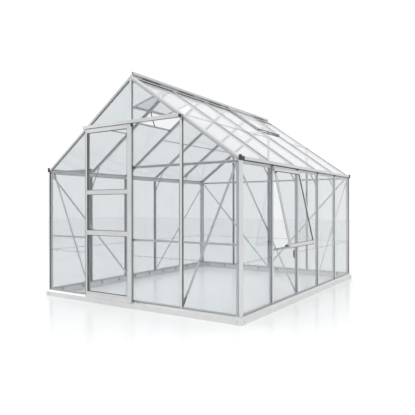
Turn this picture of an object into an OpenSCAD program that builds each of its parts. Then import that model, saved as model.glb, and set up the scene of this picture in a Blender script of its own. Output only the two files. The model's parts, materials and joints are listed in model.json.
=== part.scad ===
// Aluminium greenhouse with glass walls and roof on a folded steel base.
// +X is the side with the hinged side window, -Y is the gable with the sliding door, +Z is up.
// Origin: on the floor, in the middle of the whole outline with the side window standing open.
// Each piece is drawn about the middle of the building, which placed() then sets beside it.
// Wall and roof frames are drawn in their own plane first: n is the distance outwards from the
// glazing face of the bars, u runs along a wall and s runs down a roof slope from the ridge.

/* [Overall] */
// Spacing of the glazing bars, four bays across each gable
bay = 620; // [510:5:750]
// Number of bays along each side wall
bays_long = 5; // [4:1:7]
// Height of the roof's glazing face where it meets the side walls
eave_z = 1421; // [1180:1:1700]
// Slope of the roof in degrees
pitch = 35.4; // [29:0.1:43]

/* [Base and sill] */
// Height of the folded steel base under the walls
base_h = 66; // [55:1:90]
// Height of the base's outer face, below its sloping ledge
base_face = 50; // [40:1:60]
// How far the base stands out from the glazing face
base_reach = 28; // [22:1:36]
// Height of the aluminium sill that stands on the base
sill_h = 13; // [11:1:20]

/* [Glazing bars] */
// Width of a glazing bar's face
bar_w = 26; // [21:1:32]
// Depth of a glazing bar behind its face
bar_d = 26; // [21:1:32]
// Wall thickness of the aluminium sections
wall = 2; // [1.6:0.1:2.5]
// Thickness of a pane
glass_t = 3; // [2.5:0.1:4]

/* [Sliding door] */
// How far the shut leaf reaches past the post on its opening side
door_lap = 35; // [30:1:50]
// Thickness of the door leaf
door_t = 20; // [16:1:24]
// Width of the stile that shuts against the door post
stile_l = 28; // [22:1:40]
// Width of the stile on the opening side
stile_r = 50; // [40:1:70]

/* [Openings in the glazing] */
// Length of a roof vent from its hinge
vent_len = 560; // [460:5:680]
// Angle that the left roof vent stands open, in degrees
vent_angle = 20; // [5:1:35]
// Length of the side window from its hinge
window_len = 778; // [600:1:940]
// Angle that the side window stands open, in degrees
window_angle = 12.5; // [5:0.1:30]

/* [Hidden] */

bright = [0.86, 0.87, 0.86];
mill = [0.72, 0.74, 0.75];
zinc = [0.78, 0.79, 0.79];
plastic = [0.09, 0.09, 0.10];
pane = [0.80, 0.90, 0.92, 0.35];

seat = 0.3;                      // gap left where one piece is seated on another
bite = 1;                        // overlap where two parts of one section are joined
far = 4000;                      // longer than anything in the building
half_w = 2 * bay;                // glazing face of the side walls
half_l = bays_long * bay / 2;    // glazing face of the gables
rise = half_w * tan(pitch);
ridge_z = eave_z + rise;         // where the two roof faces meet
slope_len = half_w / cos(pitch);
inner = [for (i = [1 : bays_long - 1]) -half_l + i * bay];
gable_lines = [-bay, 0, bay];

// Steel base, a channel open downwards with lips to stand on
base_w = 60;
base_t = 2;
base_lip = 15;
base_flat = 8;                   // how far out the flat top reaches before it slopes
base_slope = atan2(base_h - base_face, base_reach - base_flat);

// Nose of a glazing bar between two panes
nose_w = 6;
nose_h = 6;
cap_w = 12;                      // bolt channel on the inner edge of a bar
brace_w = 23;
web_t = 3;
corner_flange = 14;
verge_depth = 30;                // depth of a gable rafter's leg
verge_flange = 30;
verge_lip = 14;

sill_top = base_h + sill_h;
ledge_z = base_h + 5;
ledge_d = 8;

// Panes lie on thin rubber and stop short of the noses
glass_n = 0.8;
glass_side = 2;
lap = 12;                        // how far an upper pane covers the lower one
lap_step = glass_t + 0.4;
foot_z = ledge_z + wall + seat;
wall_lap_z = 514;
wall_glass_top = eave_z - 28;
tie_h = 24;
tie_z = eave_z - 37;             // underside of the tie at eave height
roof_lap_s = 754;

// Eave section: a box that carries the roof bars, with the gutter outside it
eave_box_z = eave_z - 45;
gutter_z = eave_z - 13;
gutter_w = 18;
gutter_h = 26;
gutter_t = 2.5;
gutter_len = 2 * half_l + 2 * nose_h;
cap_t = 6;

// Ridge
ridge_web = 3;
wing = 60;
crest_z = ridge_z + 50;
crest_half = 10;
hinge_x = 14;
hinge_z = ridge_z + 20;
bead_r = 3;

// Door, hung outside the front gable
door_x0 = -bay + 10;
door_x1 = door_lap;
door_z0 = base_h - 6;            // the leaf hangs outside the base's flat top
door_y = -half_l - 34;           // middle of the leaf and of its track
track_top = eave_z + bay * tan(pitch) - 2.6;
track_w = 40;
track_h = 33;
track_t = 2.5;
track_x0 = -bay - 20;
track_x1 = bay + 5;
door_top = track_top - track_h - 5;
header_z = track_top - track_h - 25;
header_h = 22;
rail_foot = 58;
rail_low_z = 711;
rail_low_h = 48;
rail_high_z = 1135;
rail_high_h = 42;
rail_head = 40;
hanger_x = [door_x0 + 50, door_x1 - 40];
wheel_r = 10;
wheel_w = 9;
wheel_gap = 1;
hanger_t = 4;

// Roof vents and side window
vent_t = 12;
vent_over = 8;                   // how far a leaf reaches over the bars beside it
vent_left_y = inner[0];          // near bar of the bay with the open vent
vent_right_y = inner[len(inner) - 2];
vent_sill_s = vent_len - 4;
vent_sill_w = 26;
window_y = inner[0];
window_hinge_n = 27;
window_hinge_z = eave_z - 42;
window_sill_h = 22;
window_sill_z = window_hinge_z - window_len - window_sill_h - 2;
leaf_side = 20;
leaf_foot = 34;
leaf_head = 30;
leaf_inset = 1;                  // from the hinge's plane in to the face of a leaf
stay_t = 3;
stay_back = 20;                  // from a leaf's lower edge back to its stay
lug_w = 16;
lug_h = 16;
window_tip = window_hinge_n + window_len * sin(window_angle) - leaf_inset * cos(window_angle);
middle_x = (base_reach - window_tip) / 2;
middle_y = (track_w / 2 - door_y - half_l - base_reach) / 2;

// ---------------------------------------------------------------- frames of reference

// Sets the building's middle where the origin wants it
module placed() {
    translate([middle_x, middle_y, 0]) children();
}

// u is world X and the outward side is -Y
module on_front() {
    translate([0, -half_l, 0]) mirror([0, 1, 0]) children();
}

// u is world X and the outward side is +Y
module on_back() {
    translate([0, half_l, 0]) children();
}

// u is world Y and the outward side is +X
module on_right() {
    translate([half_w, 0, 0]) mirror([1, -1, 0]) children();
}

// u is world Y and the outward side is -X
module on_left() {
    translate([-half_w, 0, 0]) rotate([0, 0, 90]) children();
}

// X runs down the slope from the ridge, Y along the building and Z outwards
module on_roof_right() {
    translate([0, 0, ridge_z]) rotate([0, pitch, 0]) children();
}

module on_roof_left() {
    mirror([1, 0, 0]) on_roof_right() children();
}

// Prism of the gable's shape, its sloping edges lowered square to the roof by drop
module gable_shape(drop) {
    down = drop / cos(pitch);
    low = eave_z - down - (far - half_w) * tan(pitch);
    translate([0, 100, 0])
        rotate([90, 0, 0])
            linear_extrude(200)
                polygon([[-far, low], [far, low], [0, ridge_z - down]]);
}

// ---------------------------------------------------------------- sections

// Rectangle from one corner to the other
module span2(x0, y0, x1, y1) {
    translate([x0, y0]) square([x1 - x0, y1 - y0]);
}

// Block from one corner to the other
module span3(a, b) {
    translate(a) cube(b - a);
}

// Face, web and inner bolt channel of a glazing bar, outwards up
module bar_body() {
    span2(-bar_w / 2, -wall, bar_w / 2, 0);
    span2(-web_t / 2, -bar_d + bite, web_t / 2, -wall + bite);
    span2(-cap_w / 2, -bar_d, cap_w / 2, -bar_d + wall);
}

module bar_nose() {
    span2(-nose_w / 2, -bite, nose_w / 2, nose_h);
}

// Corner section: square tube, a glazing flange on each wall and a nose over both edges
module corner_section() {
    difference() {
        span2(-bar_d, -bar_d, 0, 0);
        span2(-bar_d + wall, -bar_d + wall, -wall, -wall);
    }
    span2(-bar_d - corner_flange, -wall, -bar_d + bite, 0);
    span2(-wall, -bar_d - corner_flange, 0, -bar_d + bite);
    span2(-nose_h, -nose_h, nose_h, nose_h);
}

// Gable rafter: roof flange, leg down the gable, return lip and nose
module verge_section() {
    span2(0, -wall, verge_flange, 0);
    span2(0, -verge_depth, wall, 0);
    span2(0, -verge_depth, verge_lip, -verge_depth + wall);
    span2(-nose_h, -nose_h, nose_h, nose_h);
}

// Angle with its face on the glazing plane, used for ties, transoms and sills of openings
module angle_section(h) {
    span2(-wall, 0, 0, h);
    span2(-bar_d, 0, 0, wall);
}

// Flat strip with round ends, its end centres at 0 and at length
module strip(length, w) {
    span2(0, -w / 2, length, w / 2);
    circle(d = w, $fn = 32);
    translate([length, 0]) circle(d = w, $fn = 32);
}

// ---------------------------------------------------------------- frame pieces

// Upright glazing bar on a wall
module post(u, z0, z1) {
    translate([u, 0, z0]) linear_extrude(z1 - z0) {
        bar_body();
        bar_nose();
    }
}

// Upright glazing bar on a gable, its top cut to the roof
module gable_post(u) {
    tall = ridge_z - sill_top;
    intersection() {
        post(u, sill_top, sill_top + tall);
        gable_shape(verge_depth + seat);
    }
    intersection() {
        translate([u - nose_w / 2, 0, sill_top]) cube([nose_w, nose_h, tall]);
        gable_shape(nose_h + glass_side);
    }
}

// Horizontal angle between two uprights of a wall
module rail(u0, u1, z, h) {
    translate([u0, 0, z]) rotate([90, 0, 90]) linear_extrude(u1 - u0) angle_section(h);
}

// Flat brace behind the bars of a wall, from its top end to its foot
module brace(u0, z0, u1, z1) {
    long = norm([u1 - u0, z1 - z0]);
    translate([u0, -bar_d - wall, z0])
        rotate([0, -atan2(z1 - z0, u1 - u0), 0])
            rotate([-90, 0, 0])
                linear_extrude(wall)
                    strip(long, brace_w);
}

// Outline of the base, in from its outer faces by t
module base_outline(t) {
    polygon([
        [base_reach - base_w + t, t],
        [base_reach - t, t],
        [base_reach - t, base_face - t * (1 - sin(base_slope)) / cos(base_slope)],
        [base_flat - t * tan(base_slope / 2), base_h - t],
        [base_reach - base_w + t, base_h - t]
    ]);
}

// Folded base channel, centred, outwards along +Y, with its ends cut to meet in the corners
module base_channel(length) {
    end = length / 2 - seat / 2;
    intersection() {
        translate([-length / 2, 0, 0])
            rotate([90, 0, 90])
                linear_extrude(length)
                    difference() {
                        base_outline(0);
                        base_outline(base_t);
                        span2(base_reach - base_w + base_lip, -bite, base_reach - base_lip, base_t + bite);
                    }
        translate([0, base_reach, 0])
            linear_extrude(base_h)
                polygon([[-end - bite, bite], [end + bite, bite],
                         [end - base_w - bite, -base_w - bite], [-end + base_w + bite, -base_w - bite]]);
    }
}

// Box sill with a ledge that the panes stand on
module sill(length) {
    translate([-length / 2, 0, 0])
        rotate([90, 0, 90])
            linear_extrude(length) {
                difference() {
                    span2(-bar_d, base_h, 0, sill_top);
                    span2(-bar_d + wall, base_h + wall, -wall, sill_top - wall);
                }
                span2(-bite, ledge_z, ledge_d, ledge_z + wall);
            }
}

base_across = 2 * (half_w + base_reach);
base_along = 2 * (half_l + base_reach);

module base_front() {
    color(zinc) placed() on_front() base_channel(base_across);
}

module base_back() {
    color(zinc) placed() on_back() base_channel(base_across);
}

module base_left() {
    color(zinc) placed() on_left() base_channel(base_along);
}

module base_right() {
    color(zinc) placed() on_right() base_channel(base_along);
}

sill_gap = 2 * (bar_d + corner_flange + seat);

// One sill along each wall, between the corner posts
module sills() {
    color(mill) placed() {
        on_front() sill(2 * half_w - sill_gap);
        on_back() sill(2 * half_w - sill_gap);
        on_left() sill(2 * half_l - sill_gap);
        on_right() sill(2 * half_l - sill_gap);
    }
}

// One post in each corner of the building
module corner_posts() {
    top = eave_z - verge_depth / cos(pitch) - seat;
    color(bright) placed()
        for (i = [0, 1], j = [0, 1])
            mirror([i, 0, 0])
                mirror([0, j, 0])
                    translate([half_w, half_l, base_h])
                        linear_extrude(top - base_h)
                            corner_section();
}

module side_posts() {
    color(mill) placed() {
        on_left() for (y = inner) post(y, sill_top, eave_box_z);
        on_right() for (y = inner) post(y, sill_top, eave_box_z);
    }
}

module gable_posts_front() {
    color(mill) placed() on_front() for (x = gable_lines) gable_post(x);
}

module gable_posts_back() {
    color(mill) placed() on_back() for (x = gable_lines) gable_post(x);
}

// A pair of rafters that meet at the ridge beam's web, on the gable towards -Y
module verge_pair() {
    past = 10;
    for (i = [0, 1])
        mirror([i, 0, 0])
            difference() {
                on_roof_right()
                    translate([-wing, -half_l, 0])
                        rotate([90, 0, 90])
                            linear_extrude(wing + slope_len + past)
                                verge_section();
                span3([-far, -far, 0], [ridge_web / 2 + seat, far, far]);
                span3([half_w - seat, -far, 0], [far, far, far]);
            }
}

module gable_rafters_front() {
    color(bright) placed() verge_pair();
}

module gable_rafters_back() {
    color(bright) placed() mirror([0, 1, 0]) verge_pair();
}

// Eave box between the corner posts, with the gutter along its outer face
module eave_gutter() {
    box_len = 2 * half_l - 2 * (bar_d + corner_flange + seat);
    web_top = eave_z - (gutter_t * sin(pitch) + wall) / cos(pitch) - seat;
    translate([-box_len / 2, 0, 0])
        rotate([90, 0, 90])
            linear_extrude(box_len)
                difference() {
                    span2(-bar_d, eave_box_z, 0, gutter_z + gutter_t);
                    span2(-bar_d + wall, eave_box_z + wall, -wall, gutter_z + gutter_t - wall);
                }
    translate([-gutter_len / 2, 0, 0])
        rotate([90, 0, 90])
            linear_extrude(gutter_len) {
                span2(0, gutter_z, gutter_w, gutter_z + gutter_t);
                span2(gutter_w - gutter_t, gutter_z, gutter_w, gutter_z + gutter_h);
                span2(0, gutter_z, gutter_t, web_top);
            }
}

module eave_gutter_left() {
    color(bright) placed() on_left() eave_gutter();
}

module eave_gutter_right() {
    color(bright) placed() on_right() eave_gutter();
}

// Moulded caps that close the gutters and wrap round the four corners of the eaves
module gutter_end_caps() {
    skin = 2;
    ahead = 7;                       // from the side wall's face in, across the gable
    back = 50;                       // from the end along the gutter
    drop = 7;
    above = 15;
    end_y = gutter_len / 2;
    side_x = half_w + gutter_w + seat;
    color(plastic) placed()
        for (i = [0, 1], j = [0, 1])
            mirror([i, 0, 0])
                mirror([0, j, 0]) {
                    span3([half_w - ahead, end_y, gutter_z - drop],
                          [side_x + skin, end_y + cap_t, gutter_z + gutter_h + above]);
                    span3([side_x, end_y - back, gutter_z - drop],
                          [side_x + skin, end_y + bite, gutter_z + gutter_h + skin]);
                }
}

// Section drawn with X across the building and Y up, extruded along the building's middle
module along_ridge(half) {
    translate([0, half, 0]) rotate([90, 0, 0]) linear_extrude(2 * half) children();
}

// Strip of the ridge section that lies along each slope, from s0 to wing and from n0 to n1
module ridge_strips(s0, n0, n1) {
    for (i = [0, 1])
        mirror([i, 0])
            translate([0, ridge_z])
                rotate(-pitch)
                    span2(s0, n0, wing, n1);
}

// Ridge beam: web, lower wings under the bars, upper wings over the glass and a hinge crest
module ridge_beam() {
    upper_n = nose_h + 1;
    upper_t = 2.5;
    skirt_z = hinge_z + bead_r + 1;  // foot of the crest's sides, clear of the vents' hinges
    crest_back = 20;                 // the crest stops this far short of the gable glass
    join = 8;                        // far enough past the middle for the two wings to meet
    shelf_z = hinge_z - bead_r - seat;
    shelf_half = hinge_x - bite;
    color(bright) placed() {
        along_ridge(gutter_len / 2) ridge_strips(-join, upper_n, upper_n + upper_t);
        along_ridge(half_l - crest_back) {
            span2(-ridge_web / 2, ridge_z - nose_h, ridge_web / 2, crest_z);
            span2(-crest_half, crest_z - wall, crest_half, crest_z);
            span2(-crest_half, skirt_z, -crest_half + wall, crest_z);
            span2(crest_half - wall, skirt_z, crest_half, crest_z);
            span2(-shelf_half, shelf_z - wall, shelf_half, shelf_z);
        }
        along_ridge(half_l - nose_h - seat) ridge_strips(2 * wall, -wall - web_t, -wall);
        along_ridge(half_l - bar_d - seat)
            span2(-ridge_web / 2, ridge_z - wing, ridge_web / 2, ridge_z);
    }
}

// Roof bar: face and nose run from ridge to gutter, the web stops short of both
module roof_bars() {
    face_start = 8;
    face_end = slope_len + 10;
    web_start = wing + 2;
    web_end = slope_len - bar_d / cos(pitch) - bar_d * tan(pitch);
    for (y = inner)
        translate([0, y, 0]) {
            translate([face_start, 0, 0])
                rotate([90, 0, 90])
                    linear_extrude(face_end - face_start) {
                        span2(-bar_w / 2, -wall, bar_w / 2, 0);
                        bar_nose();
                    }
            translate([web_start, 0, 0])
                rotate([90, 0, 90])
                    linear_extrude(web_end - web_start)
                        bar_body();
        }
}

module roof_bars_left() {
    color(bright) placed() on_roof_left() roof_bars();
}

module roof_bars_right() {
    color(bright) placed() on_roof_right() roof_bars();
}

gable_edge = half_w - bar_d - corner_flange - seat;
bar_edge = bar_w / 2 + seat;

// Ends of each of the four gable bays, between the faces of the uprights
gable_bays = [
    [-gable_edge, -bay - bar_edge],
    [-bay + bar_edge, -bar_edge],
    [bar_edge, bay - bar_edge],
    [bay + bar_edge, gable_edge]
];
glazed_bays = [0, 2, 3];         // the other bay is the doorway

// Tie at eave height and lower transom, in every front bay but the doorway
module cross_rails_front() {
    low_z = 669;
    low_h = 20;
    color(mill) placed() on_front()
        for (i = glazed_bays) {
            rail(gable_bays[i][0], gable_bays[i][1], tie_z, tie_h);
            rail(gable_bays[i][0], gable_bays[i][1], low_z, low_h);
        }
}

// Tie at eave height across the back gable
module cross_rails_back() {
    color(mill) placed() on_back()
        for (b = gable_bays)
            rail(b[0], b[1], tie_z, tie_h);
}

// Angle over the doorway that the pane above it stands on
module door_header() {
    color(mill) placed() on_front()
        rail(gable_bays[1][0], gable_bays[1][1], header_z, header_h);
}

brace_foot = sill_top + 20;
gable_brace_x = gable_edge - 6;
gable_brace_z = tie_z + 8;

// Two braces on each gable: over one bay at the front and over two at the back
module gable_braces() {
    apart = 16;
    color(bright) placed() {
        on_front() {
            brace(-gable_brace_x, gable_brace_z, -bay, brace_foot);
            brace(gable_brace_x, gable_brace_z, bay, brace_foot);
        }
        on_back() {
            brace(-gable_brace_x, gable_brace_z, -apart, brace_foot);
            brace(gable_brace_x, gable_brace_z, apart, brace_foot);
        }
    }
}

// Two braces on a side wall, each over two bays
module brace_pair() {
    top_u = half_l - wall - brace_w / 2 - 2;
    top_z = eave_box_z - 15;
    brace(-top_u, top_z, inner[1], brace_foot);
    brace(top_u, top_z, inner[len(inner) - 2], brace_foot);
}

module side_braces() {
    color(bright) placed() {
        on_left() brace_pair();
        on_right() brace_pair();
    }
}

// Flat knee between every side post and the roof bar over it, beside their bolt channels
module knee_brackets() {
    w = 14;
    t = 3;
    reach = 150;
    drop = 180;
    in = bar_d / 2 + 2;              // from the glazing face in to the knee's ends
    low = [half_w - in, eave_z - drop];
    high = [half_w - reach, eave_z + reach * tan(pitch) - in / cos(pitch)];
    run = high - low;
    color(mill) placed()
        for (y = inner, side = [0, 1])
            mirror([side, 0, 0])
                translate([low[0], y + cap_w / 2 + seat + t, low[1]])
                    rotate([90, 0, 0])
                        rotate([0, 0, atan2(run[1], run[0])])
                            linear_extrude(t)
                                strip(norm(run), w);
}

// Moulded cleats on the inner face of the base, two to a bay
module cleats(lines) {
    w = 30;
    d = 6;
    h = 36;
    n = base_reach - base_w;
    for (u = lines, f = [-0.25, 0.25])
        span3([u + f * bay - w / 2, n - d, base_h - h],
              [u + f * bay + w / 2, n, base_h]);
}

module sill_cleats() {
    side_mid = [for (i = [0 : bays_long - 1]) -half_l + (i + 0.5) * bay];
    gable_mid = [for (i = [0 : 3]) -half_w + (i + 0.5) * bay];
    color(plastic) placed() {
        on_front() cleats([for (i = glazed_bays) gable_mid[i]]);
        on_back() cleats(gable_mid);
        on_left() cleats(side_mid);
        on_right() cleats(side_mid);
    }
}

// ---------------------------------------------------------------- glazing

// Pane of a wall row. Its foot leans out by lap_step when it covers a pane below
module wall_pane(u0, u1, z0, z1, leans) {
    tilt = leans ? atan2(lap_step, z1 - z0) : 0;
    translate([0, glass_n, z1])
        rotate([tilt, 0, 0])
            span3([u0, 0, z0 - z1], [u1, glass_t, 0]);
}

// Pane in the top row of a gable, cut to the slope of the roof
module gable_pane(u0, u1, z0, leans) {
    intersection() {
        wall_pane(u0, u1, z0, ridge_z, leans);
        gable_shape(nose_h + glass_side);
    }
}

nose_edge = nose_w / 2 + glass_side;
corner_edge = nose_h + glass_side;

function gable_u0(i) = i == 0 ? -half_w + corner_edge : -half_w + i * bay + nose_edge;
function gable_u1(i) = i == 3 ? half_w - corner_edge : -half_w + (i + 1) * bay - nose_edge;

// Three rows of lapped panes up one bay of a gable
module gable_bay(i) {
    top_row = tie_z + 4;
    wall_pane(gable_u0(i), gable_u1(i), foot_z, wall_lap_z + lap, false);
    wall_pane(gable_u0(i), gable_u1(i), wall_lap_z, top_row + lap, true);
    gable_pane(gable_u0(i), gable_u1(i), top_row, true);
}

module glass_front() {
    color(pane) placed() on_front() {
        for (i = glazed_bays)
            gable_bay(i);
        gable_pane(gable_u0(1), gable_u1(1), header_z + wall + seat, false);
    }
}

module glass_back() {
    color(pane) placed() on_back() for (i = [0 : 3]) gable_bay(i);
}

function side_u0(i) = i == 0 ? -half_l + corner_edge : -half_l + i * bay + nose_edge;
function side_u1(i) = i == bays_long - 1 ? half_l - corner_edge
                                         : -half_l + (i + 1) * bay - nose_edge;

// Two rows of lapped panes up one bay of a side wall
module side_bay(i) {
    wall_pane(side_u0(i), side_u1(i), foot_z, wall_lap_z + lap, false);
    wall_pane(side_u0(i), side_u1(i), wall_lap_z, wall_glass_top, true);
}

module glass_left() {
    color(pane) placed() on_left() for (i = [0 : bays_long - 1]) side_bay(i);
}

module glass_right() {
    window_bay = 1;
    in_sill = 4;
    color(pane) placed() on_right() {
        for (i = [0 : bays_long - 1])
            if (i != window_bay)
                side_bay(i);
        wall_pane(side_u0(window_bay), side_u1(window_bay), foot_z,
                  window_sill_z + window_sill_h - in_sill, false);
    }
}

// Panes down one bay of the roof, in the slope's own frame: two lapped panes, or one under a vent
module roof_bay(i, vented) {
    top = 14;
    foot = roof_lap_s + lap;
    past_eave = 8;
    lower_top = vented ? vent_sill_s + vent_sill_w + glass_side : roof_lap_s;
    u0 = side_u0(i);
    u1 = side_u1(i);
    if (!vented)
        translate([top, 0, glass_n])
            rotate([0, -atan2(lap_step, foot - top), 0])
                span3([0, u0, 0], [foot - top, u1, glass_t]);
    span3([lower_top, u0, glass_n], [slope_len + past_eave, u1, glass_n + glass_t]);
}

module glass_roof_left() {
    color(pane) placed() on_roof_left() for (i = [0 : bays_long - 1]) roof_bay(i, i == 1);
}

module glass_roof_right() {
    color(pane) placed() on_roof_right()
        for (i = [0 : bays_long - 1])
            roof_bay(i, i == bays_long - 2);
}

// ---------------------------------------------------------------- roof vents and side window

// Top-hung leaf, X away from its hinge, Y along it and Z outwards
module leaf_frame(length) {
    y0 = -vent_over;
    y1 = bay + vent_over;
    strap = 10;                      // flat between the hinge bead and the head rail
    strap_t = 1;
    difference() {
        span3([strap, y0, -vent_t - leaf_inset], [length, y1, -leaf_inset]);
        span3([leaf_head, y0 + leaf_side, -far], [length - leaf_foot, y1 - leaf_side, far]);
    }
    span3([0, y0, -leaf_inset - strap_t / 2], [strap + bite, y1, -leaf_inset + strap_t / 2]);
    rotate([-90, 0, 0]) translate([0, 0, y0]) cylinder(r = bead_r, h = y1 - y0, $fn = 24);
}

module leaf_pane(length) {
    y0 = -vent_over + leaf_side + seat;
    y1 = bay + vent_over - leaf_side - seat;
    mid = -leaf_inset - vent_t / 2;
    span3([leaf_head + seat, y0, mid - glass_t / 2],
          [length - leaf_foot - seat, y1, mid + glass_t / 2]);
}

// Places a leaf on the +X slope's hinge, opened by an angle
module on_vent_hinge(y, open) {
    translate([hinge_x, y, hinge_z]) rotate([0, pitch - open, 0]) children();
}

// The left vent stands open and the right one is shut
module roof_vents() {
    color(mill) placed() {
        mirror([1, 0, 0]) on_vent_hinge(vent_left_y, vent_angle) leaf_frame(vent_len);
        on_vent_hinge(vent_right_y, 0) leaf_frame(vent_len);
    }
}

module roof_vent_glass() {
    color(pane) placed() {
        mirror([1, 0, 0]) on_vent_hinge(vent_left_y, vent_angle) leaf_pane(vent_len);
        on_vent_hinge(vent_right_y, 0) leaf_pane(vent_len);
    }
}

// Cross bar under the lower edge of a vent, between two roof bars
module vent_sill(y) {
    lip_h = 12;
    long = bay - 2 * bar_edge;
    translate([vent_sill_s, y + bar_edge, 0]) {
        cube([vent_sill_w, long, wall]);
        translate([0, 0, -lip_h]) cube([wall, long, lip_h + bite]);
    }
}

module roof_vent_sills() {
    color(mill) placed() {
        on_roof_left() translate([0, 0, -wall]) vent_sill(vent_left_y);
        on_roof_right() translate([0, 0, -wall]) vent_sill(vent_right_y);
    }
}

// Perforated flat stay from a fixed sill up to an open leaf, length along X from its peg
module stay_bar(length) {
    w = 12;
    holes = 6;
    hole_d = 5;
    difference() {
        linear_extrude(stay_t) strip(length, w);
        for (i = [0 : holes - 1])
            translate([i * length / holes, 0, -bite])
                cylinder(d = hole_d, h = stay_t + 2 * bite, $fn = 24);
    }
}

// Ends of the left vent's stay: on its sill and under the leaf's lower rail
function slope_xz(s, n) = [s * cos(pitch) + n * sin(pitch), ridge_z - s * sin(pitch) + n * cos(pitch)];
function vent_xz(d, n) = [hinge_x + d * cos(pitch - vent_angle) + n * sin(pitch - vent_angle),
                          hinge_z - d * sin(pitch - vent_angle) + n * cos(pitch - vent_angle)];

// Lug under the lower rail of a leaf, in the leaf's own frame, beside its stay
module leaf_lug(length, y) {
    span3([length - stay_back - lug_w / 2, y + stay_t, -vent_t - lug_h],
          [length - stay_back + lug_w / 2, y + 2 * stay_t, -vent_t - leaf_inset]);
}

module roof_vent_stay() {
    foot_s = vent_sill_s + vent_sill_w / 2;
    foot_n = 12;
    foot_h = 20;
    a = slope_xz(foot_s, foot_n);
    b = vent_xz(vent_len - stay_back, -vent_t - lug_h / 2);
    run = b - a;
    y = vent_left_y + bay / 2;
    color(plastic) placed()
        mirror([1, 0, 0]) {
            translate([a[0], y + stay_t, a[1]])
                rotate([90, 0, 0])
                    rotate([0, 0, atan2(run[1], run[0])])
                        stay_bar(norm(run));
            on_roof_right()
                span3([foot_s - lug_w / 2, y + stay_t, 0],
                      [foot_s + lug_w / 2, y + 2 * stay_t, foot_h]);
            on_vent_hinge(0, vent_angle) leaf_lug(vent_len, y);
        }
}

// Places the side window's leaf on its hinge: X down the leaf, Y along the wall, Z outwards
module on_window_hinge(open) {
    translate([half_w + window_hinge_n, window_y, window_hinge_z])
        rotate([0, 90 - open, 0])
            children();
}

module side_window_leaf() {
    color(bright) placed() on_window_hinge(window_angle) leaf_frame(window_len);
}

module side_window_glass() {
    color(pane) placed() on_window_hinge(window_angle) leaf_pane(window_len);
}

// Head and sill of the side window's opening, between two posts
module side_window_surround() {
    u0 = window_y + bar_edge;
    u1 = window_y + bay - bar_edge;
    drip_z = window_hinge_z + bead_r + seat;
    drip_past = 4;
    head_h = 22;
    lap_h = 8;
    joint_h = 4;
    color(mill) placed() on_right() {
        rail(u0, u1, window_sill_z, window_sill_h);
        span3([u0, 0, drip_z], [u1, window_hinge_n + drip_past, drip_z + wall]);
        span3([u0, -wall, eave_box_z - head_h], [u1, 0, eave_box_z - seat]);
        span3([u0, 0, eave_box_z - lap_h], [u1, wall, drip_z + bite]);
        span3([u0, -bite, eave_box_z - lap_h], [u1, bite, eave_box_z - joint_h]);
    }
}

function window_xz(d, n) = [half_w + window_hinge_n + d * sin(window_angle) + n * cos(window_angle),
                            window_hinge_z - d * cos(window_angle) + n * sin(window_angle)];

module side_window_stay() {
    out = 10;                        // from the glazing face out to the stay's peg
    up = 8;                          // from the sill's top up to the peg
    foot_h = 17.5;
    sill_z = window_sill_z + window_sill_h;
    a = [half_w + out, sill_z + up];
    b = window_xz(window_len - stay_back, -vent_t - lug_h / 2);
    run = b - a;
    y = window_y + bay / 2;
    color(plastic) placed() {
        translate([a[0], y + stay_t, a[1]])
            rotate([90, 0, 0])
                rotate([0, 0, atan2(run[1], run[0])])
                    stay_bar(norm(run));
        span3([half_w, y + stay_t, sill_z + lug_w - foot_h],
              [half_w + lug_w, y + 2 * stay_t, sill_z + lug_w]);
        on_window_hinge(window_angle)
            translate([0, -window_y, 0])
                leaf_lug(window_len, y);
    }
}

// ---------------------------------------------------------------- sliding door

// Track: a channel open downwards, with lips that the wheels run on
module door_track() {
    lip = 10;
    spacer_w = 20;
    spacer_z0 = 3;
    spacer_z1 = 20;
    y0 = door_y - track_w / 2;
    y1 = door_y + track_w / 2;
    z0 = track_top - track_h;
    color(bright) placed() {
        translate([track_x0, 0, 0])
            rotate([90, 0, 90])
                linear_extrude(track_x1 - track_x0) {
                    span2(y0, track_top - track_t, y1, track_top);
                    span2(y0, z0, y0 + track_t, track_top);
                    span2(y1 - track_t, z0, y1, track_top);
                    span2(y0, z0, y0 + track_t + lip, z0 + track_t);
                    span2(y1 - track_t - lip, z0, y1, z0 + track_t);
                }
        for (x = gable_lines)
            span3([x - spacer_w / 2, y1 - bite, z0 + spacer_z0],
                  [x + spacer_w / 2, -half_l - nose_h, z0 + spacer_z1]);
    }
}

// Plugs that close both ends of the track and stop the wheels
module track_stops() {
    plug = 8;
    rim = 3;                         // how far a plug stands out of the track
    inset = 3;
    color(plastic) placed()
        for (x = [track_x0 - rim, track_x1 - plug + rim])
            span3([x, door_y - track_w / 2 + inset, track_top - track_h + inset],
                  [x + plug, door_y + track_w / 2 - inset, track_top - inset]);
}

door_y0 = door_y - door_t / 2;
door_y1 = door_y + door_t / 2;
rail_x0 = door_x0 + stile_l;
rail_x1 = door_x1 - stile_r;

// Outline of a stile from its inner edge, with the outer corner at w rounded
module stile_outline(w, d, r) {
    square([w - r, d]);
    translate([0, r]) square([w, d - r]);
    translate([w - r, r]) circle(r, $fn = 48);
}

// Hollow upright of the door leaf, its section running from 0 to w
module stile(w) {
    r = 8;
    linear_extrude(door_top - door_z0)
        difference() {
            stile_outline(w, door_t, r);
            translate([wall, wall]) stile_outline(w - 2 * wall, door_t - 2 * wall, r - wall);
        }
}

module door_stiles() {
    color(bright) placed() {
        translate([rail_x0, door_y0, door_z0]) mirror([1, 0, 0]) stile(stile_l);
        translate([rail_x1, door_y0, door_z0]) stile(stile_r);
    }
}

// Hollow rail of the door leaf
module door_rail(z, h) {
    inset = 1;
    translate([rail_x0 + seat, 0, 0])
        rotate([90, 0, 90])
            linear_extrude(rail_x1 - rail_x0 - 2 * seat)
                difference() {
                    span2(door_y0 + inset, z, door_y1 - inset, z + h);
                    span2(door_y0 + inset + wall, z + wall, door_y1 - inset - wall, z + h - wall);
                }
}

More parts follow.
